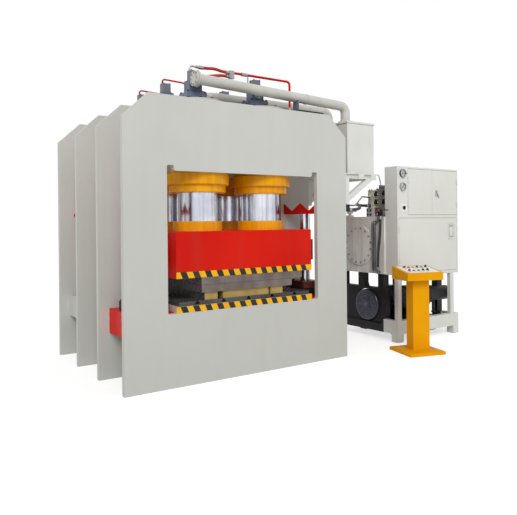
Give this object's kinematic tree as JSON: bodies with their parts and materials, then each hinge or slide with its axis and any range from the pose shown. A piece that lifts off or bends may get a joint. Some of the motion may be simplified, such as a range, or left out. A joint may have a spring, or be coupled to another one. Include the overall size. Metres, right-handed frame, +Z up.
{
  "type": "hydraulic press",
  "caption": "multi-cylinder frame-plate hydraulic press with moving platen, overhead filling tank, power unit, electric cabinet and separate push-button console",
  "frame": {"origin": "the middle of the front frame plate's foot, halfway through its thickness, on the floor", "axes": "+X to the right, from the press towards its power unit, +Y to the rear, +Z up"},
  "size_m": [4.9635, 2.7557, 3.3092],
  "materials": {
    "frame_grey": "semi-gloss machine paint",
    "press_red": "gloss machine paint",
    "cylinder_yellow": "gloss machine paint",
    "console_amber": "powder coat",
    "ram_chrome": "ground hard chrome",
    "machined_steel": "machined, lightly oiled",
    "black_paint": "satin machine paint",
    "motor_dark": "satin machine paint",
    "tank_grey": "semi-gloss machine paint",
    "reservoir_grey": "semi-gloss machine paint",
    "cabinet_grey": "powder coat",
    "needle_black": "black lacquer",
    "control_plastic": "moulded",
    "stop_red": "moulded",
    "button_green": "moulded",
    "hose_black": "smooth cover",
    "hose_red": "smooth cover"
  },
  "bodies": {
    "press": {"frame_plate_front": "frame_grey", "frame_plate_second": "frame_grey", "frame_plate_third": "frame_grey", "frame_plate_rear": "frame_grey", "lower_table": "press_red", "cylinder_front_left": "cylinder_yellow", "cylinder_front_right": "cylinder_yellow", "cylinder_middle_left": "cylinder_yellow", "cylinder_middle_right": "cylinder_yellow", "cylinder_rear_left": "cylinder_yellow", "cylinder_rear_right": "cylinder_yellow", "guide_column_front_left": "ram_chrome", "guide_column_front_right": "ram_chrome", "guide_column_rear_left": "ram_chrome", "guide_column_rear_right": "ram_chrome", "bolster_plate": "black_paint", "lower_die": "machined_steel", "filling_pipe_front": "tank_grey", "filling_pipe_rear": "tank_grey", "pilot_pipe": "press_red", "pilot_hose_upper": "hose_red", "pilot_hose_lower": "hose_red", "filling_tank": "tank_grey", "tank_bracket": "tank_grey", "return_pipe": "tank_grey", "reservoir": "reservoir_grey", "manhole_cover": "reservoir_grey", "valve_manifold": "machined_steel", "pressure_hose": "hose_black", "drain_hose": "hose_black", "main_motor": "motor_dark", "auxiliary_motor": "motor_dark", "power_base": "black_paint", "cabinet": "cabinet_grey", "cabinet_stand": "cabinet_grey", "console_pedestal": "console_amber", "console_desk": "console_amber"},
    "moving_platen": {"platen": "press_red", "ram_front_left": "ram_chrome", "ram_front_right": "ram_chrome", "ram_middle_left": "ram_chrome", "ram_middle_right": "ram_chrome", "ram_rear_left": "ram_chrome", "ram_rear_right": "ram_chrome", "ram_clamp_rings": "cylinder_yellow", "upper_die": "machined_steel"},
    "left_door": {"cabinet_left_door": "cabinet_grey"},
    "right_door": {"cabinet_right_door": "cabinet_grey"},
    "lower_door": {"cabinet_lower_door": "cabinet_grey"},
    "handle": {"door_handle": "control_plastic"},
    "selector": {"mode_selector": "control_plastic"},
    "needle_upper": {"gauge_needle_upper": "needle_black"},
    "needle_lower": {"gauge_needle_lower": "needle_black"},
    "shutoff_lever": {"valve_lever": "black_paint"},
    "stop_button": {"emergency_stop": "stop_red"},
    "rise": {"rise_button": "button_green"},
    "start": {"start_button": "button_green"},
    "lower": {"lower_button": "control_plastic"},
    "knob_rear": {"console_selector_rear": "control_plastic"},
    "knob_front": {"console_selector_front": "control_plastic"}
  },
  "joints": [
    {"name": "platen_slide", "type": "slide", "parent": "press", "child": "moving_platen", "axis": [0, 0, 1], "range_m": [0, 0.285]},
    {"name": "left_door_hinge", "type": "hinge", "parent": "press", "child": "left_door", "pos_m": [2.5805, 0.094, 1.655], "axis": [0, 0, -1], "range_deg": [0, 115]},
    {"name": "right_door_hinge", "type": "hinge", "parent": "press", "child": "right_door", "pos_m": [3.5805, 0.094, 1.655], "axis": [0, 0, 1], "range_deg": [0, 115]},
    {"name": "lower_door_hinge", "type": "hinge", "parent": "press", "child": "lower_door", "pos_m": [2.4015, 0.094, 0.89], "axis": [0, 0, -1], "range_deg": [0, 75]},
    {"name": "handle_turn", "type": "hinge", "parent": "right_door", "child": "handle", "pos_m": [3.148, 0.102, 1.96], "axis": [0, -1, 0], "range_deg": [0, 90]},
    {"name": "selector_turn", "type": "hinge", "parent": "press", "child": "selector", "pos_m": [2.498, 0.102, 1.748], "axis": [0, -1, 0], "range_deg": [-45, 45]},
    {"name": "upper_needle_turn", "type": "hinge", "parent": "press", "child": "needle_upper", "pos_m": [2.47, 0.078, 2.196], "axis": [0, 1, 0], "range_deg": [0, 270], "stiffness_Nm_per_rad": 0.01},
    {"name": "lower_needle_turn", "type": "hinge", "parent": "press", "child": "needle_lower", "pos_m": [2.47, 0.078, 2.023], "axis": [0, 1, 0], "range_deg": [0, 270], "stiffness_Nm_per_rad": 0.01},
    {"name": "shutoff_turn", "type": "hinge", "parent": "press", "child": "shutoff_lever", "pos_m": [2.318, 0.345, 1.7], "axis": [0, 0, -1], "range_deg": [0, 90]},
    {"name": "emergency_stop_press", "type": "slide", "parent": "press", "child": "stop_button", "axis": [0.0523, 0.1765, -0.9829], "range_m": [0, 0.005], "stiffness_N_per_m": 600, "springref_m": -0.003},
    {"name": "rise_button_press", "type": "slide", "parent": "press", "child": "rise", "axis": [0.0523, 0.1765, -0.9829], "range_m": [0, 0.005], "stiffness_N_per_m": 600, "springref_m": -0.003},
    {"name": "start_button_press", "type": "slide", "parent": "press", "child": "start", "axis": [0.0523, 0.1765, -0.9829], "range_m": [0, 0.005], "stiffness_N_per_m": 600, "springref_m": -0.003},
    {"name": "lower_button_press", "type": "slide", "parent": "press", "child": "lower", "axis": [0.0523, 0.1765, -0.9829], "range_m": [0, 0.005], "stiffness_N_per_m": 600, "springref_m": -0.003},
    {"name": "console_selector_rear_turn", "type": "hinge", "parent": "press", "child": "knob_rear", "pos_m": [2.35933, -0.35196, 1.01181], "axis": [-0.0523, -0.1765, 0.9829], "range_deg": [-45, 45]},
    {"name": "console_selector_front_turn", "type": "hinge", "parent": "press", "child": "knob_front", "pos_m": [2.25984, -0.466, 0.98603], "axis": [-0.0523, -0.1765, 0.9829], "range_deg": [-45, 45]}
  ]
}
